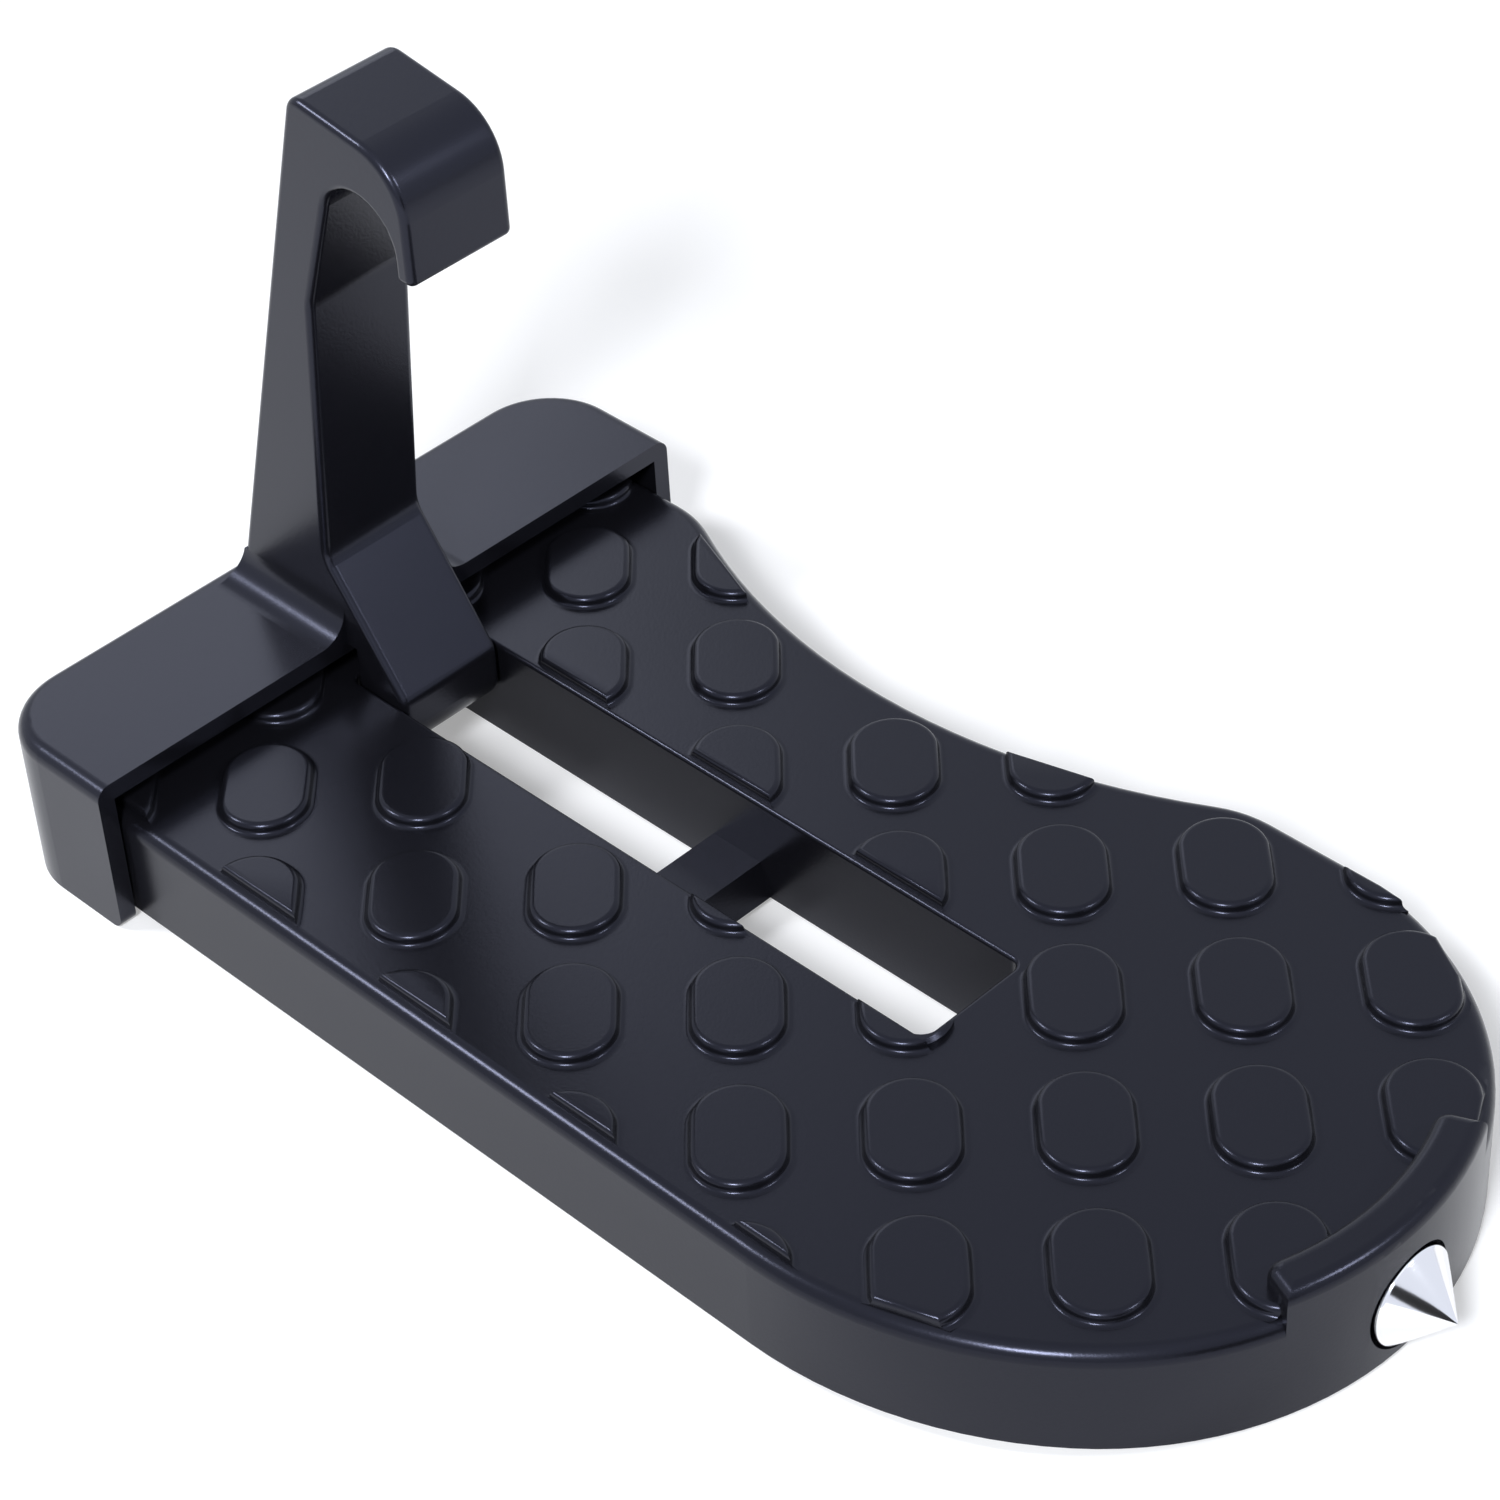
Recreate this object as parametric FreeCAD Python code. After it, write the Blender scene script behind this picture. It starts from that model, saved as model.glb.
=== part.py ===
import FreeCAD, Part
import math
import os

from FreeCAD import Vector

# Door latch step: a die-cast pedal that folds on a hinge pin against a hook bracket.
# Modelling frame in millimetres: X across the step, Y from heel to toe, Z up, with the
# hinge axis at Y = 0 and the pedal's underside at Z = 0. The finished pieces are moved at
# the end so that the origin is the centre of the overall box, on the floor.

# Pedal outline, seen from above
pedal_width = 94.4
pedal_thickness = 15.2
heel_length = 25.7
heel_corner_radius = 8.0
toe_radius = 46.75
toe_overhang = 1.95
toe_run = 11.0
toe_near_turn = 38.3
waist_depth = 11.5
waist_radius = 97.0
waist_y = 49.4
waist_blend = 16.0
pedal_edge_radius = 2.0

# Pedal section, open underneath
top_plate = 3.5
skirt_wall = 3.2
rib_wall = 2.4
rib_pitch = 21.0
rib_recess = 3.0
toe_rib_angle = 38.0

# Slot that the folded hook lies in, with a bar across it
slot_width = 17.4
slot_wall = 3.0
slot_corner_radius = 1.5
slot_edge_radius = 0.6
slot_head_clearance = 3.5
bar_y = 48.2
bar_length = 8.4
bar_front_slope = 1.5
bar_height = 5.2

# Tread bumps on a lattice turned across the pedal
bump_width = 11.4
bump_length = 16.6
bump_height = 1.2
bump_bevel = 0.5
bump_pitch_across = 20.0
bump_pitch_along = 21.9
bump_turn = 45.0
bump_first_x = 31.2
bump_first_y = 4.0
bump_edge_margin = 0.3
bump_slot_margin = 0.6
bump_least_share = 0.03

# Raised lip on the toe, above the window breaker
lip_width = 6.0
lip_height = 4.5
lip_half_angle = 23.0
lip_corner_radius = 2.0
lip_edge_radius = 1.8

# Window breaker: a hardened cone pressed into the toe
tip_offset = -3.2
tip_diameter = 13.0
tip_cone_length = 6.2
tip_collar = 0.2
tip_shank_diameter = 8.0
tip_shank_length = 11.0
tip_seat_depth = 2.0
tip_seat_clearance = 0.5
tip_boss_wall = 2.6

# Hinge
pin_diameter = 4.5
pin_depth = 4.1
pin_boss_length = 3.0
pin_running_clearance = 0.05
knuckle_wall = 2.5
knuckle_clearance = 0.5
arm_side_clearance = 0.45
fold_clearance = 0.35

# Cap of the hook bracket, over the heel
cap_plate = 2.6
cap_wall = 2.5
cap_back_wall = 3.0
cap_lift = 3.9
cap_side_gap = 0.5
cap_heel_gap = 0.9
cap_drop = 1.7
cap_edge_radius = 2.0
cap_foot_radius = 1.8
arm_flare_radius = 4.5

# Hook arm, seen from the side
hook_height = 104.6
hook_front_y = 16.5
arm_back_y = -27.0
arm_back_lean = 16.0
hook_top_fall = 9.0
hook_back_radius = 2.6
hook_front_radius = 8.5
hook_tip_wall = 2.9
hook_tip_drop = 3.2
hook_tip_radius = 0.8
throat_radius = 6.25
throat_below_top = 16.1
throat_wall_lean = 18.5
throat_wall_drop = 14.5
arm_front_lean = 5.6
arm_bend_radius = 6.0
gusset_rise = 11.5
gusset_lean = 36.0
gusset_radius = 4.0
arm_edge_radius = 1.0

# Rubber pad on the back of the cap
pad_width = 70.0
pad_height = 13.0
pad_thickness = 2.5
pad_corner_radius = 3.0

# Places that follow from the sizes above
half_width = pedal_width / 2
waist_x = waist_depth - half_width - waist_radius
toe_side_x = -half_width - toe_overhang
toe_blend_x = toe_side_x + waist_blend
toe_blend_y = waist_y + math.sqrt((waist_radius + waist_blend) ** 2 - (toe_blend_x - waist_x) ** 2)
toe_centre_x = toe_side_x + toe_radius
toe_centre_y = toe_blend_y + toe_run
toe_near_extra = (half_width - toe_centre_x - toe_radius) / (1 - math.cos(math.radians(toe_near_turn)))
toe_near_radius = toe_radius + toe_near_extra
hinge_z = pedal_thickness - pin_depth
knuckle_radius = pin_diameter / 2 + knuckle_wall
slot_half = slot_width / 2
pin_length = slot_width + 2 * (slot_wall + pin_boss_length)
slot_back_y = -(knuckle_radius + knuckle_clearance)
slot_front_y = hook_height - hinge_z + slot_head_clearance
arm_half = slot_half - arm_side_clearance
cap_half = half_width + cap_side_gap + cap_wall
cap_front_y = -(pin_depth + bump_height + fold_clearance)
cap_inner_y = -(heel_length + cap_heel_gap)
cap_back_y = cap_inner_y - cap_back_wall
cap_under_z = pedal_thickness + cap_lift
cap_top_z = cap_under_z + cap_plate
tip_z = pedal_thickness / 2
toe_front_y = toe_centre_y + math.sqrt(toe_radius ** 2 - (tip_offset - toe_centre_x) ** 2)
tip_base_y = toe_front_y + tip_collar
tip_end_y = tip_base_y + tip_cone_length
tip_seat_y = toe_front_y - tip_seat_depth
pad_back_y = cap_back_y - pad_thickness
overlap = 1.0


def point(x, y, z=0.0):
    """A point in the modelling frame."""
    return Vector(x, y, z)


def polar(centre, radius, degrees):
    """The point at an angle on a level circle."""
    turn = math.radians(degrees)
    return centre + Vector(radius * math.cos(turn), radius * math.sin(turn), 0)


def heading(centre, target):
    """The level angle from a centre to a target, in degrees."""
    return math.degrees(math.atan2(target.y - centre.y, target.x - centre.x))


def arc_about(centre, radius, start, end):
    """A level arc between two angles, run from start to end."""
    middle = polar(centre, radius, (start + end) / 2)
    return Part.Arc(polar(centre, radius, start), middle, polar(centre, radius, end)).toShape()


def line(start, end):
    """A straight edge."""
    return Part.LineSegment(start, end).toShape()


def prism(wire, low, high):
    """A level wire at Z = 0 made into a solid between two heights."""
    face = Part.Face(wire)
    face.translate(Vector(0, 0, low))
    return face.extrude(Vector(0, 0, high - low))


def block(low, high):
    """A box between two opposite corners."""
    size = high - low
    return Part.makeBox(size.x, size.y, size.z, low)


def rounded_wire(corners):
    """A closed wire through (point, radius) corners, each rounded by its own radius."""
    edges = []
    count = len(corners)
    starts = []
    ends = []
    middles = []
    for index in range(count):
        corner, radius = corners[index]
        before = (corners[index - 1][0] - corner).normalize()
        after = (corners[(index + 1) % count][0] - corner).normalize()
        half_turn = before.getAngle(after) / 2
        reach = radius / math.tan(half_turn)
        bisector = (before + after).normalize()
        starts.append(corner + before * reach)
        ends.append(corner + after * reach)
        middles.append(corner + bisector * (radius / math.sin(half_turn) - radius))
    for index in range(count):
        if corners[index][1] > 0:
            edges.append(Part.Arc(starts[index], middles[index], ends[index]).toShape())
        following = starts[(index + 1) % count]
        if (following - ends[index]).Length > 1e-6:
            edges.append(line(ends[index], following))
    return Part.Wire(edges)


def rounded_rectangle(low_x, low_y, high_x, high_y, radius):
    """A level rectangle with rounded corners."""
    return rounded_wire([
        (point(low_x, low_y), radius),
        (point(high_x, low_y), radius),
        (point(high_x, high_y), radius),
        (point(low_x, high_y), radius),
    ])


def pedal_outline(inset):
    """The pedal's outline from above, moved inwards by an inset: straight on one side,
    waisted on the other, with a round toe. All its arcs keep their centres."""
    near_x = half_width - inset
    far_x = -near_x
    back_y = -heel_length + inset
    corner = heel_corner_radius - inset
    toe = point(toe_centre_x, toe_centre_y)
    near_toe = polar(toe, -toe_near_extra, toe_near_turn)
    waist = point(waist_x, waist_y)
    heel_blend_x = waist_blend - half_width
    heel_rise = math.sqrt((waist_radius + waist_blend) ** 2 - (heel_blend_x - waist_x) ** 2)
    heel_blend = point(heel_blend_x, waist_y - heel_rise)
    toe_blend = point(toe_blend_x, toe_blend_y)
    near_heel = point(half_width - heel_corner_radius, -heel_length + heel_corner_radius)
    far_heel = point(-near_heel.x, near_heel.y)
    toe_r = toe_radius - inset
    blend_r = waist_blend - inset
    return Part.Wire([
        line(point(near_x, near_heel.y), point(near_x, near_toe.y)),
        arc_about(near_toe, toe_near_radius - inset, 0, toe_near_turn),
        arc_about(toe, toe_r, toe_near_turn, 180),
        line(polar(toe, toe_r, 180), polar(toe_blend, blend_r, 180)),
        arc_about(toe_blend, blend_r, 180, heading(toe_blend, waist) % 360),
        arc_about(waist, waist_radius + inset, heading(waist, toe_blend), heading(waist, heel_blend)),
        arc_about(heel_blend, blend_r, heading(heel_blend, waist) % 360, 180),
        line(point(far_x, heel_blend.y), point(far_x, far_heel.y)),
        arc_about(far_heel, corner, 180, 270),
        line(point(far_heel.x, back_y), point(near_heel.x, back_y)),
        arc_about(near_heel, corner, 270, 360),
    ])


def edges_at_height(shape, height):
    """The edges of a shape that lie level at a height."""
    return [
        edge for edge in shape.Edges
        if abs(edge.BoundBox.ZMin - height) < 1e-4 and abs(edge.BoundBox.ZMax - height) < 1e-4
    ]


def slot_box(margin, low, high):
    """The slot's plan, widened by a margin, between two heights."""
    outline = rounded_rectangle(
        -slot_half - margin, slot_back_y - margin, slot_half + margin, slot_front_y + margin,
        slot_corner_radius + margin)
    return prism(outline, low, high)


def slot_bar():
    """The bar across the slot, with its front face sloping out towards the underside."""
    back = bar_y - bar_length / 2
    front = bar_y + bar_length / 2
    slope = bar_front_slope / bar_height
    section = Part.makePolygon([
        point(-slot_width, back, -2 * overlap),
        point(-slot_width, front + bar_front_slope + 2 * overlap * slope, -2 * overlap),
        point(-slot_width, front, bar_height),
        point(-slot_width, back, bar_height),
        point(-slot_width, back, -2 * overlap),
    ])
    return Part.Face(section).extrude(Vector(2 * slot_width, 0, 0))


def toe_lip():
    """The raised bead that follows the toe's edge above the window breaker."""
    toe = point(toe_centre_x, toe_centre_y)
    middle = heading(toe, point(tip_offset, toe_front_y))
    inner = toe_radius - lip_width
    first = middle - lip_half_angle
    last = middle + lip_half_angle
    outline = Part.Wire([
        arc_about(toe, toe_radius, first, last),
        line(polar(toe, toe_radius, last), polar(toe, inner, last)),
        arc_about(toe, inner, last, first),
        line(polar(toe, inner, first), polar(toe, toe_radius, first)),
    ])
    top = pedal_thickness + lip_height
    bead = prism(outline, pedal_thickness - top_plate, top)
    inner_ends = [
        edge for edge in bead.Edges
        if edge.BoundBox.ZLength > lip_height
        and (edge.CenterOfMass - Vector(toe.x, toe.y, edge.CenterOfMass.z)).Length < inner + overlap
    ]
    bead = bead.makeFillet(lip_corner_radius, inner_ends)
    return bead.makeFillet(lip_edge_radius, edges_at_height(bead, top))


def tread_bumps():
    """The raised treads, kept clear of the pedal's edge and of the slot."""
    straight = bump_length / 2
    bump = prism(
        rounded_rectangle(-bump_width / 2, -straight, bump_width / 2, straight, bump_width / 2),
        pedal_thickness - overlap, pedal_thickness + bump_height)
    bump = bump.makeChamfer(bump_bevel, edges_at_height(bump, pedal_thickness + bump_height))
    bump.rotate(Vector(0, 0, 0), Vector(0, 0, 1), bump_turn - 90)
    across = polar(Vector(0, 0, 0), bump_pitch_across, bump_turn + 90)
    along = polar(Vector(0, 0, 0), bump_pitch_along, bump_turn)
    low = pedal_thickness - 2 * overlap
    high = pedal_thickness + 2 * bump_height
    zone = prism(pedal_outline(pedal_edge_radius + bump_edge_margin), low, high)
    zone = zone.cut(slot_box(slot_edge_radius + bump_slot_margin, low, high))
    reach = int(2 * (toe_centre_y + toe_radius) / min(bump_pitch_across, bump_pitch_along))
    treads = []
    for row in range(-reach, reach + 1):
        for column in range(-reach, reach + 1):
            place = across * row + along * column + point(bump_first_x, bump_first_y)
            if abs(place.x) > half_width + bump_length or abs(place.y) > toe_centre_y + toe_radius:
                continue
            tread = bump.translated(place).common(zone)
            if tread.Volume > bump_least_share * bump.Volume:
                treads.extend(tread.Solids)
    return treads


def underside_ribs():
    """What stays solid inside the pedal's hollow: slot walls, ribs and bosses."""
    under_plate = pedal_thickness - top_plate
    wall_half = slot_half + slot_wall
    kept = [slot_box(slot_wall, 0, pedal_thickness)]
    rib_y = -heel_length + rib_pitch
    while rib_y < slot_front_y:
        low = point(-2 * half_width, rib_y - rib_wall / 2, rib_recess)
        kept.append(block(low, point(2 * half_width, rib_y + rib_wall / 2, pedal_thickness)))
        rib_y += rib_pitch
    heel_low = point(-rib_wall / 2, -heel_length, rib_recess)
    kept.append(block(heel_low, point(rib_wall / 2, slot_back_y, pedal_thickness)))
    hub = point(tip_offset, slot_front_y, rib_recess)
    for turn in (-toe_rib_angle, 0, toe_rib_angle):
        rib = block(point(-rib_wall / 2, 0), point(rib_wall / 2, 2 * toe_radius, pedal_thickness - rib_recess))
        rib.rotate(Vector(0, 0, 0), Vector(0, 0, 1), turn)
        kept.append(rib.translated(hub))
    boss_half = wall_half + pin_boss_length
    boss_start = point(-boss_half, 0, hinge_z)
    kept.append(Part.makeCylinder(knuckle_radius, 2 * boss_half, boss_start, Vector(1, 0, 0)))
    boss_rib_low = point(-boss_half, -knuckle_radius, hinge_z)
    kept.append(block(boss_rib_low, point(boss_half, knuckle_radius, under_plate + overlap)))
    boss_radius = tip_shank_diameter / 2 + tip_boss_wall
    boss_end = toe_front_y - tip_seat_depth - tip_shank_length - tip_boss_wall
    boss_from = point(tip_offset, boss_end, tip_z)
    kept.append(Part.makeCylinder(boss_radius, toe_front_y - boss_end, boss_from, Vector(0, 1, 0)))
    boss_low = point(tip_offset - boss_radius, boss_end, tip_z)
    kept.append(block(boss_low, point(tip_offset + boss_radius, toe_front_y, pedal_thickness)))
    seat_radius = tip_diameter / 2 + tip_seat_clearance + tip_boss_wall
    seat_low = point(tip_offset - seat_radius, tip_seat_y - tip_boss_wall, 0)
    kept.append(block(seat_low, point(tip_offset + seat_radius, toe_front_y, pedal_thickness)))
    return kept


def make_pedal():
    """The cast pedal: waisted plate with a skirt, ribbed underneath, slotted and treaded."""
    body = prism(pedal_outline(0), 0, pedal_thickness)
    body = body.makeFillet(pedal_edge_radius, edges_at_height(body, pedal_thickness))
    hollow = prism(pedal_outline(skirt_wall), -overlap, pedal_thickness - top_plate)
    body = body.cut(hollow.cut(underside_ribs()))
    body = body.cut(slot_box(0, -overlap, pedal_thickness + overlap).cut(slot_bar()))
    slot_edges = [
        edge for edge in edges_at_height(body, pedal_thickness)
        if abs(edge.CenterOfMass.x) < slot_half + overlap
        and slot_back_y - overlap < edge.CenterOfMass.y < slot_front_y + overlap
    ]
    body = body.makeFillet(slot_edge_radius, slot_edges)
    body = body.fuse(toe_lip()).fuse(tread_bumps()).removeSplitter()
    across = Vector(1, 0, 0)
    bore = Part.makeCylinder(pin_diameter / 2, pin_length, point(-pin_length / 2, 0, hinge_z), across)
    ahead = Vector(0, 1, 0)
    seat_radius = tip_diameter / 2 + tip_seat_clearance
    seat_length = tip_seat_depth + tip_collar
    seat = Part.makeCylinder(seat_radius, seat_length, point(tip_offset, tip_seat_y, tip_z), ahead)
    shank_start = point(tip_offset, tip_seat_y - tip_shank_length, tip_z)
    shank = Part.makeCylinder(tip_shank_diameter / 2, tip_shank_length + overlap, shank_start, ahead)
    return body.cut([bore, seat, shank])


def make_hinge_pin():
    """The plain steel pin, pressed into the pedal's bosses."""
    start = point(-pin_length / 2, 0, hinge_z)
    return Part.makeCylinder(pin_diameter / 2, pin_length, start, Vector(1, 0, 0))


def make_breaker_tip():
    """The turned steel cone with its collar and press-in shank."""
    radius = tip_diameter / 2
    shank = tip_shank_diameter / 2
    section = Part.makePolygon([
        point(0, tip_seat_y - tip_shank_length),
        point(shank, tip_seat_y - tip_shank_length),
        point(shank, tip_seat_y),
        point(radius, tip_seat_y),
        point(radius, tip_base_y),
        point(0, tip_end_y),
        point(0, tip_seat_y - tip_shank_length),
    ])
    turned = Part.Face(section).revolve(Vector(0, 0, 0), Vector(0, 1, 0), 360)
    return turned.translated(point(tip_offset, 0, tip_z))


def arm_profile():
    """The side view of hook, arm, gusset and hinge knuckle, as rounded corners in Y and Z."""
    back_slope = math.tan(math.radians(arm_back_lean))
    top_slope = math.tan(math.radians(hook_top_fall))
    base_z = cap_under_z + cap_plate / 2
    base_back_y = arm_back_y - back_slope * (cap_top_z - base_z)
    top_back_y = arm_back_y + back_slope * (hook_height - cap_top_z)
    throat_z = hook_height - throat_below_top
    throat_y = hook_front_y - hook_tip_wall - throat_radius
    wall_turn = math.radians(throat_wall_lean)
    apex = (throat_y + throat_radius, throat_z + throat_radius / math.tan(wall_turn / 2))
    tip_z_low = throat_z - hook_tip_drop
    kink_z = throat_z - throat_wall_drop
    kink_y = apex[0] - (apex[1] - kink_z) * math.tan(wall_turn)
    gusset_z = cap_top_z + gusset_rise
    gusset_y = kink_y - (kink_z - gusset_z) * math.tan(math.radians(arm_front_lean))
    toe_z = gusset_z - (knuckle_radius - gusset_y) / math.tan(math.radians(gusset_lean))
    corners = [
        ((base_back_y, base_z), 0),
        ((top_back_y, hook_height), hook_back_radius),
        ((hook_front_y, hook_height - (hook_front_y - top_back_y) * top_slope), hook_front_radius),
        ((hook_front_y, tip_z_low), hook_tip_radius),
        ((hook_front_y - hook_tip_wall, tip_z_low), hook_tip_radius),
        (apex, throat_radius),
        ((kink_y, kink_z), arm_bend_radius),
        ((gusset_y, gusset_z), gusset_radius),
        ((knuckle_radius, toe_z), knuckle_wall),
        ((knuckle_radius, hinge_z - knuckle_radius), knuckle_radius),
        ((-knuckle_radius, hinge_z - knuckle_radius), knuckle_radius),
        ((-knuckle_radius, base_z), 0),
    ]
    return rounded_wire([(point(-arm_half, y, z), radius) for (y, z), radius in corners])


def hook_arm():
    """The arm with its hook, softened along both sides above the cap."""
    arm = Part.Face(arm_profile()).extrude(Vector(2 * arm_half, 0, 0))
    rims = [
        edge for edge in arm.Edges
        if edge.BoundBox.XLength < 1e-4 and edge.CenterOfMass.z > cap_top_z
    ]
    return arm.makeFillet(arm_edge_radius, rims)


def arm_flare(side):
    """The hollow fillet between the cap's top and one side of the arm."""
    root = cap_under_z + cap_plate / 2
    front = cap_front_y
    corner = point(side * arm_half, front, cap_top_z)
    out = corner + Vector(side * arm_flare_radius, 0, 0)
    up = corner + Vector(0, 0, arm_flare_radius)
    centre = corner + Vector(side * arm_flare_radius, 0, arm_flare_radius)
    middle = centre - Vector(side, 0, 1).normalize() * arm_flare_radius
    inner = Vector(0, front, root)
    section = Part.Wire([
        Part.Arc(up, middle, out).toShape(),
        line(out, Vector(out.x, front, root)),
        line(Vector(out.x, front, root), inner),
        line(inner, Vector(0, front, up.z)),
        line(Vector(0, front, up.z), up),
    ])
    return Part.Face(section).extrude(Vector(0, arm_back_y - front, 0))


def make_cap():
    """The cap over the heel: a plate with a back wall and two end walls, open to the front."""
    corner = heel_corner_radius + cap_heel_gap
    outer = rounded_rectangle(-cap_half, cap_back_y, cap_half, -cap_back_y, corner + cap_wall)
    shell = prism(outer, -cap_drop, cap_top_z)
    shell = shell.makeFillet(cap_edge_radius, edges_at_height(shell, cap_top_z))
    inner_half = cap_half - cap_wall
    inner = rounded_rectangle(-inner_half, cap_inner_y, inner_half, -cap_inner_y, corner)
    shell = shell.cut(prism(inner, -cap_drop - overlap, cap_under_z))
    front_low = point(-2 * cap_half, cap_front_y, -cap_drop - overlap)
    shell = shell.cut(block(front_low, point(2 * cap_half, -2 * cap_back_y, cap_top_z + overlap)))
    feet = [
        edge for edge in edges_at_height(shell, -cap_drop)
        if edge.BoundBox.YLength < 1e-4 and abs(edge.CenterOfMass.y - cap_front_y) < 1e-4
    ]
    return shell.makeFillet(cap_foot_radius, feet)


def make_hook_bracket():
    """One casting: cap, arm, hook and hinge knuckle."""
    back_slope = math.tan(math.radians(arm_back_lean))
    flare_top = cap_top_z + arm_flare_radius
    flare_back = Part.Face(Part.makePolygon([
        point(-cap_half, arm_back_y - back_slope * cap_plate, cap_top_z - cap_plate),
        point(-cap_half, arm_back_y + back_slope * 2 * arm_flare_radius, flare_top + arm_flare_radius),
        point(-cap_half, cap_front_y, flare_top + arm_flare_radius),
        point(-cap_half, cap_front_y, cap_top_z - cap_plate),
        point(-cap_half, arm_back_y - back_slope * cap_plate, cap_top_z - cap_plate),
    ])).extrude(Vector(2 * cap_half, 0, 0))
    flares = [arm_flare(side).common(flare_back) for side in (-1, 1)]
    bracket = make_cap().fuse([hook_arm()] + flares).removeSplitter()
    bore_start = point(-slot_width, 0, hinge_z)
    bore_radius = pin_diameter / 2 + pin_running_clearance
    return bracket.cut(Part.makeCylinder(bore_radius, 2 * slot_width, bore_start, Vector(1, 0, 0)))


def make_back_pad():
    """The rubber pad that keeps the cap off the car's paint."""
    middle_z = (cap_top_z - cap_drop) / 2
    outline = rounded_rectangle(
        -pad_width / 2, -pad_height / 2, pad_width / 2, pad_height / 2, pad_corner_radius)
    pad = prism(outline, 0, pad_thickness)
    pad.rotate(Vector(0, 0, 0), Vector(1, 0, 0), 90)
    return pad.translated(point(0, cap_back_y, middle_z))


def main():
    """Build every piece, centre the step on its origin and write the files."""
    os.makedirs("parts", exist_ok=True)
    centre_y = (pad_back_y + tip_end_y) / 2
    pieces = {
        "pedal": make_pedal(),
        "hinge_pin": make_hinge_pin(),
        "breaker_tip": make_breaker_tip(),
        "hook_bracket": make_hook_bracket(),
        "back_pad": make_back_pad(),
    }
    for name, shape in pieces.items():
        shape.translated(point(0, -centre_y, cap_drop)).exportStep("parts/" + name + ".step")


main()
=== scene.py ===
import logging
import math
from dataclasses import dataclass, field
from enum import Enum
from typing import Callable, Iterator

import bmesh
import bpy
from bmesh.types import BMesh, BMEdge, BMVert
from mathutils import Matrix, Vector


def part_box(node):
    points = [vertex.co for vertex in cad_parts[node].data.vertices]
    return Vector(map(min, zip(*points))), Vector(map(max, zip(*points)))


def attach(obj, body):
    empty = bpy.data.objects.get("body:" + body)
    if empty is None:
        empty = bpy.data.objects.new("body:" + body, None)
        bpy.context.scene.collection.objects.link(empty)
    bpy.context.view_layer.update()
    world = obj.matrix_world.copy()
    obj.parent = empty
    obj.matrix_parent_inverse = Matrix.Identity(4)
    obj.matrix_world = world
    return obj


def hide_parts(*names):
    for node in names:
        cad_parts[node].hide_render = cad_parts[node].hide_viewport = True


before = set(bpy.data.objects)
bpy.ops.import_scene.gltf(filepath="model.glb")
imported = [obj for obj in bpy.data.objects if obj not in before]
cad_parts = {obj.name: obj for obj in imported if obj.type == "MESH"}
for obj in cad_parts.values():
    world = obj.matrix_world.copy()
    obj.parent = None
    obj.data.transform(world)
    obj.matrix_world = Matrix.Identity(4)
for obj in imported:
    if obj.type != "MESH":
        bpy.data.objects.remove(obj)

logging.basicConfig(level=logging.INFO, format="%(message)s")
log = logging.getLogger("door_latch_step")

# Metres in a millimetre, and a length in millimetres that counts as nothing
MM = 0.001
SMALL = 1e-4

# Where the hinge frame, in which the pedal is measured, lies in the row frame
HINGE_Y = -67.4554
FLOOR_TO_PEDAL = 1.7
PEDAL_THICKNESS = 15.2

# Edges sharper than this many degrees stay sharp in the shading
SHARP_ANGLE = 38.0

# A face is level above the first of these parts of its normal, and stands upright below the second
LEVEL = 0.9
UPRIGHT = 0.1

Color = tuple[float, float, float]
Place = tuple[float, float, float]


class Body(str, Enum):
    """The two CAD bodies that pieces ride on."""

    PEDAL = "pedal_body"
    HOOK = "hook_body"


class Slot(str, Enum):
    """Material slots of the record, one named with each new piece."""

    PEDAL_PAINT = "pedal_paint"
    TIP_STEEL = "tip_steel"
    PAD_RUBBER = "pad_rubber"


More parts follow.
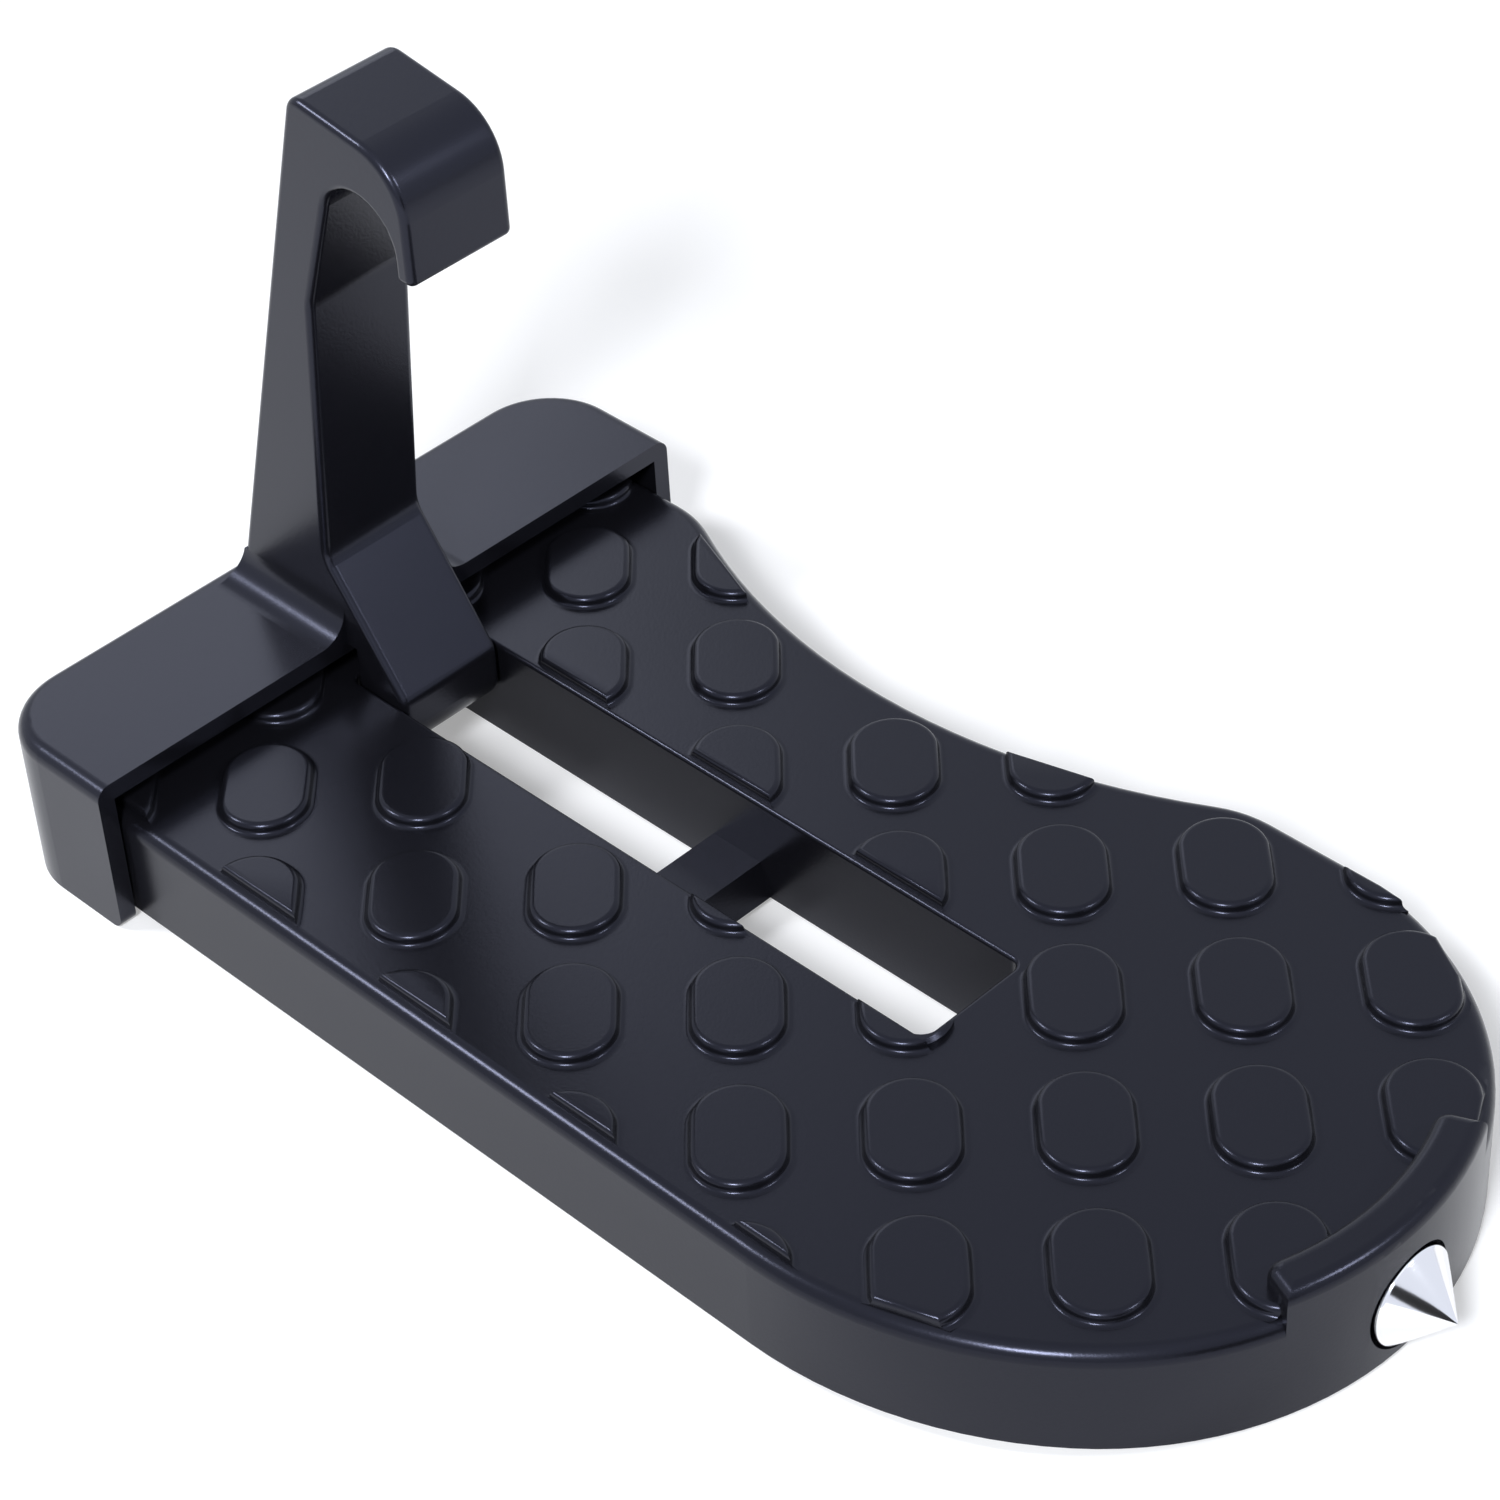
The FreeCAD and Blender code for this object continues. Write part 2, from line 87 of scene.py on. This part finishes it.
@dataclass(frozen=True)
class Finish:
    """A surface finish: one principled shader with optional fine grain and patches.

    Args:
        name: material name.
        color: linear base colour.
        roughness: mean roughness.
        metallic: 0 for paint and rubber, 1 for bare metal.
        specular: specular level of the paint.
        tint: colour of the specular reflection.
        grain: height of the fine surface grain, in metres.
        grain_scale: grain cells per metre.
        grain_strength: how strongly the grain tilts the surface.
        patchiness: how far the roughness drifts over the surface.
        patch_scale: patches per metre.
    """

    name: str
    color: Color
    roughness: float
    metallic: float = 0.0
    specular: float = 0.5
    tint: Color = (1.0, 1.0, 1.0)
    grain: float = 0.0
    grain_scale: float = 2500.0
    grain_strength: float = 0.5
    patchiness: float = 0.0
    patch_scale: float = 30.0

    def material(self) -> bpy.types.Material:
        """Make the material once, and reuse it after that.

        Returns:
            The material.
        """
        found = bpy.data.materials.get(self.name)
        if found is not None:
            return found
        made = bpy.data.materials.new(self.name)
        made.use_nodes = True
        shader = made.node_tree.nodes["Principled BSDF"]
        shader.inputs["Base Color"].default_value = (*self.color, 1.0)
        shader.inputs["Roughness"].default_value = self.roughness
        shader.inputs["Metallic"].default_value = self.metallic
        shader.inputs["Specular IOR Level"].default_value = self.specular
        shader.inputs["Specular Tint"].default_value = (*self.tint, 1.0)
        if self.grain > 0:
            self._add_grain(made.node_tree, shader)
        if self.patchiness > 0:
            self._add_patches(made.node_tree, shader)
        return made

    @staticmethod
    def _noise(tree: bpy.types.NodeTree, scale: float) -> bpy.types.Node:
        """Add a noise that is fixed to the object.

        Args:
            tree: node tree of the material.
            scale: noise cells per metre.

        Returns:
            The noise node.
        """
        place = tree.nodes.new("ShaderNodeTexCoord")
        noise = tree.nodes.new("ShaderNodeTexNoise")
        noise.inputs["Scale"].default_value = scale
        tree.links.new(place.outputs["Object"], noise.inputs["Vector"])
        return noise

    def _add_grain(self, tree: bpy.types.NodeTree, shader: bpy.types.Node) -> None:
        """Roughen the surface with a fine bump.

        Args:
            tree: node tree of the material.
            shader: the principled shader.
        """
        noise = self._noise(tree, self.grain_scale)
        bump = tree.nodes.new("ShaderNodeBump")
        bump.inputs["Strength"].default_value = self.grain_strength
        bump.inputs["Distance"].default_value = self.grain
        tree.links.new(noise.outputs["Fac"], bump.inputs["Height"])
        tree.links.new(bump.outputs["Normal"], shader.inputs["Normal"])

    def _add_patches(self, tree: bpy.types.NodeTree, shader: bpy.types.Node) -> None:
        """Let the roughness drift a little from place to place.

        Args:
            tree: node tree of the material.
            shader: the principled shader.
        """
        noise = self._noise(tree, self.patch_scale)
        spread = tree.nodes.new("ShaderNodeMapRange")
        spread.inputs["To Min"].default_value = self.roughness - self.patchiness
        spread.inputs["To Max"].default_value = self.roughness + self.patchiness
        tree.links.new(noise.outputs["Fac"], spread.inputs["Value"])
        tree.links.new(spread.outputs["Result"], shader.inputs["Roughness"])


BLACK = (0.0045, 0.0045, 0.006)
BLUISH = (0.68, 0.72, 1.0)
PEDAL_PAINT = Finish(
    "satin_black_pedal", BLACK, 0.24, specular=0.28, tint=BLUISH, grain=0.00002, patchiness=0.03)
BRACKET_PAINT = Finish(
    "satin_black_bracket", BLACK, 0.24, specular=0.36, tint=BLUISH, grain=0.00002, patchiness=0.03)
GROUND_STEEL = Finish(
    "ground_steel", (0.55, 0.55, 0.56), 0.3, metallic=1.0, grain=0.000008, grain_scale=4000.0,
    patchiness=0.06)
POLISHED_STEEL = Finish("polished_steel", (0.86, 0.86, 0.88), 0.1, metallic=1.0, patchiness=0.03)
RUBBER = Finish(
    "matt_rubber", (0.02, 0.02, 0.02), 0.75, grain=0.00004, grain_scale=1500.0, patchiness=0.06)
FLOOR_PAINT = Finish("pale_floor", (0.70, 0.70, 0.70), 0.9)
CARD_PAINT = Finish("dark_card", (0.008, 0.008, 0.008), 0.9)


def place_mesh(name: str, bm: BMesh) -> bpy.types.Object:
    """Turn a finished bmesh in millimetres into an object at the origin.

    Args:
        name: piece name.
        bm: the mesh, freed afterwards.

    Returns:
        The new object.
    """
    bmesh.ops.scale(bm, vec=(MM, MM, MM), verts=bm.verts)
    bmesh.ops.recalc_face_normals(bm, faces=bm.faces)
    mesh = bpy.data.meshes.new(name)
    bm.to_mesh(mesh)
    bm.free()
    mesh.shade_smooth()
    mesh.set_sharp_from_angle(angle=math.radians(SHARP_ANGLE))
    made = bpy.data.objects.new(name, mesh)
    bpy.context.scene.collection.objects.link(made)
    return made


def dress_piece(made: bpy.types.Object, body: Body, slot: Slot, finish: Finish) -> None:
    """Give a new piece its finish, and let it ride a body.

    Args:
        made: the piece.
        body: CAD body that carries the piece.
        slot: record slot of the piece; not used.
        finish: surface finish.
    """
    made.data.materials.append(finish.material())
    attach(made, body.value)


def round_edges(bm: BMesh, keep: Callable[[BMEdge], bool], size: float, steps: int) -> None:
    """Bevel the edges that a test keeps, as a round of a given size.

    Args:
        bm: the mesh.
        keep: test of an edge.
        size: radius of the round, in millimetres.
        steps: faces across the round.
    """
    chosen = [edge for edge in bm.edges if keep(edge)]
    bmesh.ops.bevel(
        bm, geom=chosen, offset=size, segments=steps, profile=0.5, affect="EDGES", material=-1)


def verts_of(made: list[object]) -> list[BMVert]:
    """The vertices among what an operator made."""
    return [item for item in made if isinstance(item, BMVert)]


@dataclass
class Castings:
    """The CAD pieces that stay in view: the two castings and the hinge pin."""

    finishes: dict[str, Finish] = field(default_factory=lambda: {
        "pedal": PEDAL_PAINT, "hook_bracket": BRACKET_PAINT, "hinge_pin": GROUND_STEEL})

    def build(self) -> list[bpy.types.Object]:
        """Pick the pieces out of the frame."""
        return [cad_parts[name] for name in self.finishes]

    def dress(self, made: list[bpy.types.Object]) -> None:
        """Put each piece in its finish.

        Args:
            made: the pieces, in the order of the finishes.
        """
        for node, finish in zip(made, self.finishes.values()):
            node.data.materials.clear()
            node.data.materials.append(finish.material())


@dataclass(frozen=True)
class Arc:
    """A round stretch of the pedal's outline, in millimetres in the hinge frame."""

    x: float
    y: float
    radius: float

    def centre(self) -> Vector:
        """The arc's centre on the plane of the tread."""
        return Vector((self.x, self.y, 0))


@dataclass
class Treads:
    """The raised oval treads on the pedal, cut off straight beside the pedal's edge and slot.

    Sizes are in millimetres in the hinge frame, with the top of the pedal at a height of 0.
    """

    # One oval
    width: float = 11.5
    length: float = 16.7
    height: float = 1.42
    foot: float = 0.9
    sunk: float = 0.5
    sides: int = 64
    top_round: float = 0.80
    top_steps: int = 5
    foot_round: float = 0.60
    foot_steps: int = 4
    crown_inset: float = 0.12

    # Lattice of ovals
    pitch_across: float = 20.0
    pitch_along: float = 21.9
    turn: float = 45.0
    first: tuple[float, float] = (31.2, 4.0)
    rows: int = 16
    field_side: float = 60.0
    field_back: float = -35.0
    field_front: float = 170.0

    # Cuts beside the outline and the slot
    cut_round: float = 0.60
    cut_tilts: tuple[float, ...] = (75.0, 55.0, 35.0, 15.0, 0.0)
    least_cut: float = 0.05
    least_share: float = 0.10
    margin: float = 2.0
    toe_margin: float = 1.5
    waist_margin: float = 1.7
    half_width: float = 47.2
    heel: float = 25.7
    slot_edge: float = 9.55
    slot_back: float = -5.0
    slot_front: float = 98.2
    toe: Arc = Arc(-2.4, 113.87, 46.75)
    near_toe: Arc = Arc(-12.79, 105.66, 59.99)
    near_turn: float = 38.3
    waist: Arc = Arc(-132.7, 49.4, 97.0)

    # Hair's breadth by which the feet lie above the pedal's own face
    lift: float = 0.015

    def build(self) -> list[bpy.types.Object]:
        """Set treads on the whole lattice and join them into one piece.

        Returns:
            The one piece.
        """
        pattern = bpy.data.meshes.new("tread_pattern")
        bm = self._oval()
        bm.to_mesh(pattern)
        whole = sum(face.calc_area() for face in bm.faces)
        bm.free()
        turn = Matrix.Rotation(math.radians(self.turn), 4, "Z")
        joined = bmesh.new()
        for spot in self._spots(turn):
            tread = bmesh.new()
            tread.from_mesh(pattern)
            tread.transform(Matrix.Translation(spot) @ turn)
            for point, way in self._cuts(spot.x, spot.y):
                if tread.faces:
                    self._cut(tread, point, way)
            if sum(face.calc_area() for face in tread.faces) > self.least_share * whole:
                piece = bpy.data.meshes.new("tread")
                tread.to_mesh(piece)
                joined.from_mesh(piece)
                bpy.data.meshes.remove(piece)
            tread.free()
        bpy.data.meshes.remove(pattern)
        top = PEDAL_THICKNESS + FLOOR_TO_PEDAL
        bmesh.ops.translate(joined, vec=(0, HINGE_Y, top + self.lift), verts=joined.verts)
        return [place_mesh("treads", joined)]

    def dress(self, made: list[bpy.types.Object]) -> None:
        """Paint the treads as the pedal is painted."""
        dress_piece(made[0], Body.PEDAL, Slot.PEDAL_PAINT, PEDAL_PAINT)

    def _spots(self, turn: Matrix) -> Iterator[Vector]:
        """The places of the lattice on and near the pedal.

        Args:
            turn: turn of the lattice about the upright axis.

        Yields:
            The middle of each tread.
        """
        across = turn @ Vector((0, self.pitch_across, 0))
        along = turn @ Vector((self.pitch_along, 0, 0))
        span = range(-self.rows, self.rows + 1)
        for row in span:
            for column in span:
                spot = Vector((*self.first, 0)) + across * row + along * column
                if abs(spot.x) <= self.field_side and self.field_back < spot.y < self.field_front:
                    yield spot

    def _oval(self) -> BMesh:
        """Make one whole tread at the origin: a sunk base, a foot, a wall and a rounded top.

        Returns:
            The closed mesh, with its length along X.
        """
        bm = bmesh.new()
        bmesh.ops.create_circle(
            bm, cap_ends=True, radius=self.width / 2 + self.foot, segments=self.sides)
        for way in (-1, 1):
            half = [vert for vert in bm.verts if vert.co.x * way > SMALL]
            bmesh.ops.translate(bm, vec=(way * self._stretch(), 0, 0), verts=half)
        base = bmesh.ops.extrude_face_region(bm, geom=bm.faces[:], use_keep_orig=True)["geom"]
        bmesh.ops.translate(bm, vec=(0, 0, -self.sunk), verts=verts_of(base))
        bmesh.ops.recalc_face_normals(bm, faces=bm.faces)
        inner = [face for face in bm.faces if face.normal.z > LEVEL]
        bmesh.ops.inset_region(
            bm, faces=inner, thickness=self.foot, use_boundary=True, use_even_offset=True)
        raised = bmesh.ops.extrude_face_region(bm, geom=inner)["geom"]
        bmesh.ops.translate(bm, vec=(0, 0, self.height), verts=verts_of(raised))
        bmesh.ops.delete(bm, geom=inner, context="FACES_ONLY")
        bm.normal_update()
        round_edges(bm, self._top_of_wall, self.top_round, self.top_steps)
        round_edges(bm, self._foot_of_wall, self.foot_round, self.foot_steps)
        bm.normal_update()
        top = [face for face in bm.faces if face.calc_center_median().z > self.height - SMALL]
        bmesh.ops.inset_region(bm, faces=top, thickness=self.crown_inset)
        return bm

    def _stretch(self) -> float:
        """How far each half of a circle moves out to make the oval."""
        return (self.length - self.width) / 2

    @staticmethod
    def _walled(edge: BMEdge) -> bool:
        """Whether exactly one of an edge's faces stands upright."""
        return sum(abs(face.normal.z) < UPRIGHT for face in edge.link_faces) == 1

    def _top_of_wall(self, edge: BMEdge) -> bool:
        """Whether an edge is the rim between the wall and the top."""
        high = all(vert.co.z > self.height - SMALL for vert in edge.verts)
        return high and self._walled(edge)

    def _foot_of_wall(self, edge: BMEdge) -> bool:
        """Whether an edge is the foot of the wall and not the rim of the base.

        Args:
            edge: the edge.

        Returns:
            True at the foot of the wall.
        """
        limit = (self.width + self.foot) / 2
        for vert in edge.verts:
            past_straight = max(abs(vert.co.x) - self._stretch(), 0)
            if abs(vert.co.z) > SMALL or math.hypot(past_straight, vert.co.y) > limit:
                return False
        return self._walled(edge)

    def _cuts(self, x: float, y: float) -> Iterator[tuple[Vector, Vector]]:
        """The cutting planes near a tread.

        Args:
            x: place of the tread across the pedal.
            y: place of the tread along the pedal.

        Yields:
            A point of each plane and the direction of what is cut off.
        """
        spot = Vector((x, y, 0))
        far_side = -self.half_width if y < 0 else self.toe.x - self.toe.radius
        yield Vector((self.half_width - self.margin, 0, 0)), Vector((1, 0, 0))
        yield Vector((far_side + self.margin, 0, 0)), Vector((-1, 0, 0))
        yield Vector((0, self.margin - self.heel, 0)), Vector((0, -1, 0))
        if self.slot_back < y < self.slot_front:
            side = 1 if x > 0 else -1
            yield Vector((side * self.slot_edge, 0, 0)), Vector((-side, 0, 0))
        elif abs(x) < self.slot_edge and y > 0:
            yield Vector((0, self.slot_front, 0)), Vector((0, -1, 0))
        elif abs(x) < self.slot_edge:
            yield Vector((0, self.slot_back, 0)), Vector((0, 1, 0))
        if y > self.toe.y:
            out = spot - self.toe.centre()
            near = math.degrees(math.atan2(out.y, out.x)) < self.near_turn
            arc = self.near_toe if near else self.toe
            way = (spot - arc.centre()).normalized()
            yield arc.centre() + way * (arc.radius - self.toe_margin), way
        elif x < 0:
            way = (self.waist.centre() - spot).normalized()
            yield self.waist.centre() - way * (self.waist.radius + self.waist_margin), way

    def _cut(self, bm: BMesh, point: Vector, way: Vector) -> None:
        """Cut a tread off at a plane, with its rim rounded by tilted planes.

        Args:
            bm: the tread.
            point: a point of the upright plane.
            way: direction of what is cut off.
        """
        if max((vert.co - point).dot(way) for vert in bm.verts) < self.least_cut:
            return
        up = Vector((0, 0, 1))
        centre = point - way * self.cut_round + up * (self.height - self.cut_round)
        for tilt in self.cut_tilts:
            out = way * math.cos(math.radians(tilt)) + up * math.sin(math.radians(tilt))
            self._slice(bm, centre + out * self.cut_round, out)

    @staticmethod
    def _slice(bm: BMesh, point: Vector, out: Vector) -> None:
        """Remove what lies beyond a plane and close the opening.

        Args:
            bm: the tread.
            point: a point of the plane.
            out: direction of what is removed.
        """
        everything = bm.verts[:] + bm.edges[:] + bm.faces[:]
        bmesh.ops.bisect_plane(
            bm, geom=everything, dist=SMALL, plane_co=point, plane_no=out, clear_outer=True)
        bmesh.ops.holes_fill(bm, edges=[edge for edge in bm.edges if edge.is_boundary], sides=0)


@dataclass
class BreakerTip:
    """The polished cone of the window breaker, with the collar that sits in the toe."""

    diameter: float = 13.0
    cone: float = 6.2
    point_radius: float = 0.05
    collar: float = 2.2
    rim_round: float = 0.2
    rim_steps: int = 3
    sides: int = 128
    base: Place = (-3.2, 160.81, PEDAL_THICKNESS / 2 + FLOOR_TO_PEDAL)

    def build(self) -> list[bpy.types.Object]:
        """Make a cone with its base drawn back into the collar, and lay it along the step.

        Returns:
            The one piece.
        """
        bm = bmesh.new()
        bmesh.ops.create_cone(
            bm, cap_ends=True, segments=self.sides, radius1=self.diameter / 2,
            radius2=self.point_radius, depth=self.cone,
            matrix=Matrix.Translation((0, 0, self.cone / 2)))
        base = [face for face in bm.faces if face.calc_center_median().z < SMALL]
        drawn = bmesh.ops.extrude_face_region(bm, geom=base)["geom"]
        bmesh.ops.translate(bm, vec=(0, 0, -self.collar), verts=verts_of(drawn))
        bmesh.ops.delete(bm, geom=base, context="FACES_ONLY")
        round_edges(
            bm, lambda edge: all(abs(vert.co.z) < SMALL for vert in edge.verts), self.rim_round,
            self.rim_steps)
        x, y, z = self.base
        lay = Matrix.Rotation(-math.pi / 2, 4, "X")
        bm.transform(Matrix.Translation((x, y + HINGE_Y, z)) @ lay)
        return [place_mesh("breaker_cone", bm)]

    def dress(self, made: list[bpy.types.Object]) -> None:
        """Polish the cone and put it in the place of the CAD tip."""
        dress_piece(made[0], Body.PEDAL, Slot.TIP_STEEL, POLISHED_STEEL)
        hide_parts("breaker_tip")


@dataclass
class BackPad:
    """The rubber pad on the back of the cap, as large as the CAD pad."""

    corner: float = 3.0
    corner_steps: int = 8
    rim_round: float = 0.7
    rim_steps: int = 4
    back_reach: float = 0.1

    def build(self) -> list[bpy.types.Object]:
        """Make the pad as a block with rounded corners and a rounded rim at the back.

        Returns:
            The one piece.
        """
        low, high = (Vector(corner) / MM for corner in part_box("back_pad"))
        bm = bmesh.new()
        bmesh.ops.create_cube(bm, size=1.0)
        bm.transform(Matrix.Translation((low + high) / 2) @ Matrix.Diagonal((*(high - low), 1)))
        round_edges(
            bm, lambda edge: abs(edge.verts[0].co.y - edge.verts[1].co.y) > SMALL, self.corner,
            self.corner_steps)
        round_edges(bm, lambda edge: self._back_rim(edge, low.y), self.rim_round, self.rim_steps)
        return [place_mesh("rubber_pad", bm)]

    def _back_rim(self, edge: BMEdge, back: float) -> bool:
        """Whether an edge lies on the rim of the back face."""
        at_back = all(vert.co.y < back + self.back_reach for vert in edge.verts)
        return at_back and any(abs(face.normal.y) < UPRIGHT for face in edge.link_faces)

    def dress(self, made: list[bpy.types.Object]) -> None:
        """Make the pad of rubber and put it in the place of the CAD pad."""
        dress_piece(made[0], Body.HOOK, Slot.PAD_RUBBER, RUBBER)
        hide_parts("back_pad")


@dataclass(frozen=True)
class Softbox:
    """A square area light aimed at the step, with places and sizes in metres."""

    name: str
    spot: Place
    size: float
    power: float
    color: Color = (0.94, 0.96, 1.0)

    def build(self) -> bpy.types.Object:
        """Add the light, turned to the origin.

        Returns:
            The light.
        """
        data = bpy.data.lights.new(self.name, "AREA")
        data.size = self.size
        data.energy = self.power
        data.color = self.color
        made = bpy.data.objects.new(self.name, data)
        aim = Vector(self.spot).to_track_quat("Z", "Y")
        made.matrix_world = Matrix.Translation(self.spot) @ aim.to_matrix().to_4x4()
        bpy.context.scene.collection.objects.link(made)
        return made


@dataclass
class Studio:
    """Pale floor, pale sky, soft light and a dark card, with sizes in metres."""

    floor_size: float = 6.0
    floor_glow: float = 0.35
    surround: float = 0.18
    sky_color: Color = (0.86, 0.90, 1.0)
    card_size: float = 0.30
    card_spot: Place = (0.157, 0.653, 0.112)
    lights: tuple[Softbox, ...] = (
        Softbox("left_box", (0.50, -0.63, 0.79), 0.20, 5.5),
        Softbox("key_box", (0.70, 0.40, 0.75), 0.19, 12.0),
        Softbox("top_box", (0.2, 0.3, 1.3), 0.9, 0.5),
        Softbox("back_box", (-0.58, -1.06, 0.86), 0.5, 1.1),
        Softbox("front_box", (-0.33, 0.77, 0.70), 0.17, 3.0),
    )

    def build(self) -> list[bpy.types.Object]:
        """Add the floor, the card, the lights and the sky.

        Returns:
            The floor and the card.
        """
        spot = Vector(self.card_spot)
        facing = spot.to_track_quat("Z", "Y").to_matrix().to_4x4()
        floor = self._sheet("floor", self.floor_size, Matrix.Identity(4))
        card = self._sheet("dark_card", self.card_size, Matrix.Translation(spot) @ facing)
        for light in self.lights:
            light.build()
        self._sky()
        return [floor, card]

    def dress(self, made: list[bpy.types.Object]) -> None:
        """Paint the floor and the card, which the polished cone mirrors and the camera leaves out.

        Args:
            made: the floor and the card.
        """
        floor, card = made
        floor.data.materials.append(self._floor_paint())
        card.data.materials.append(CARD_PAINT.material())
        card.visible_camera = False

    @staticmethod
    def _sheet(name: str, size: float, place: Matrix) -> bpy.types.Object:
        """Add a square sheet to the stage.

        Args:
            name: name of the sheet.
            size: length of its sides.
            place: where it lies, from level at the origin.

        Returns:
            The sheet.
        """
        bm = bmesh.new()
        bmesh.ops.create_grid(bm, x_segments=1, y_segments=1, size=size / 2)
        bm.transform(place)
        mesh = bpy.data.meshes.new(name)
        bm.to_mesh(mesh)
        bm.free()
        made = bpy.data.objects.new(name, mesh)
        bpy.context.scene.collection.objects.link(made)
        return made

    def _floor_paint(self) -> bpy.types.Material:
        """Make a pale matt floor that glows a little where it is seen or mirrored.

        Returns:
            The material.
        """
        made = FLOOR_PAINT.material()
        shader = made.node_tree.nodes["Principled BSDF"]
        shader.inputs["Emission Color"].default_value = (1, 1, 1, 1)
        self._where_seen(made.node_tree, 0.0, self.floor_glow, shader.inputs["Emission Strength"])
        return made

    def _sky(self) -> None:
        """Make a sky that is pale where it is seen or mirrored, and a dimmer even light."""
        world = bpy.data.worlds.new("studio")
        bpy.context.scene.world = world
        world.use_nodes = True
        sky = world.node_tree.nodes["Background"]
        sky.inputs["Color"].default_value = (*self.sky_color, 1)
        self._where_seen(world.node_tree, self.surround, 1.0, sky.inputs["Strength"])

    @staticmethod
    def _where_seen(tree: bpy.types.NodeTree, unseen: float, seen: float,
                    socket: bpy.types.NodeSocket) -> None:
        """Set a strength by whether a camera, glossy or transmission ray arrives.

        Args:
            tree: node tree of a material or world.
            unseen: strength for all other rays.
            seen: strength for the three kinds of ray.
            socket: the strength.
        """
        path = tree.nodes.new("ShaderNodeLightPath")
        level = tree.nodes.new("ShaderNodeMapRange")
        level.inputs["To Min"].default_value = unseen
        level.inputs["To Max"].default_value = seen
        total = path.outputs["Is Camera Ray"]
        for kind in ("Is Glossy Ray", "Is Transmission Ray"):
            either = tree.nodes.new("ShaderNodeMath")
            either.operation = "MAXIMUM"
            tree.links.new(total, either.inputs[0])
            tree.links.new(path.outputs[kind], either.inputs[1])
            total = either.outputs[0]
        tree.links.new(total, level.inputs["Value"])
        tree.links.new(level.outputs["Result"], socket)


@dataclass
class Camera:
    """The photo's camera, as an orbit round a target in millimetres in the row frame."""

    azimuth: float = 136.95
    elevation: float = 39.90
    roll: float = -3.56
    distance: float = 536.13
    target: Place = (-15.5, -22.925, 16.9)
    lens: float = 100.53
    sensor: float = 36.0
    clip_start: float = 0.01

    def build(self) -> list[bpy.types.Object]:
        """Add the camera.

        Returns:
            The camera.
        """
        turn = math.radians(self.azimuth)
        rise = math.radians(self.elevation)
        roll = math.radians(self.roll)
        back = Vector((
            math.sin(turn) * math.cos(rise), -math.cos(turn) * math.cos(rise), math.sin(rise)))
        right = Vector((math.cos(turn), math.sin(turn), 0))
        up = back.cross(right)
        across = right * math.cos(roll) + up * math.sin(roll)
        tall = up * math.cos(roll) - right * math.sin(roll)
        made = bpy.data.objects.new("photo_camera", bpy.data.cameras.new("photo_camera"))
        axes = Matrix((across, tall, back)).transposed().to_4x4()
        spot = (Vector(self.target) + back * self.distance) * MM
        made.matrix_world = Matrix.Translation(spot) @ axes
        bpy.context.scene.collection.objects.link(made)
        return [made]

    def dress(self, made: list[bpy.types.Object]) -> None:
        """Fit the lens and make the camera the scene's own.

        Args:
            made: the camera.
        """
        data = made[0].data
        data.lens = self.lens
        data.sensor_width = self.sensor
        data.clip_start = self.clip_start
        bpy.context.scene.camera = made[0]


def main() -> None:
    """Build the step, its studio and its camera, and log each piece."""
    bpy.context.scene.view_settings.view_transform = "Standard"
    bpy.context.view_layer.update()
    for assembly in (Castings(), Treads(), BreakerTip(), BackPad(), Studio(), Camera()):
        pieces = assembly.build()
        assembly.dress(pieces)
        for piece in pieces:
            log.info("%s: %s", type(assembly).__name__, piece.name)


if __name__ == "__main__":
    main()
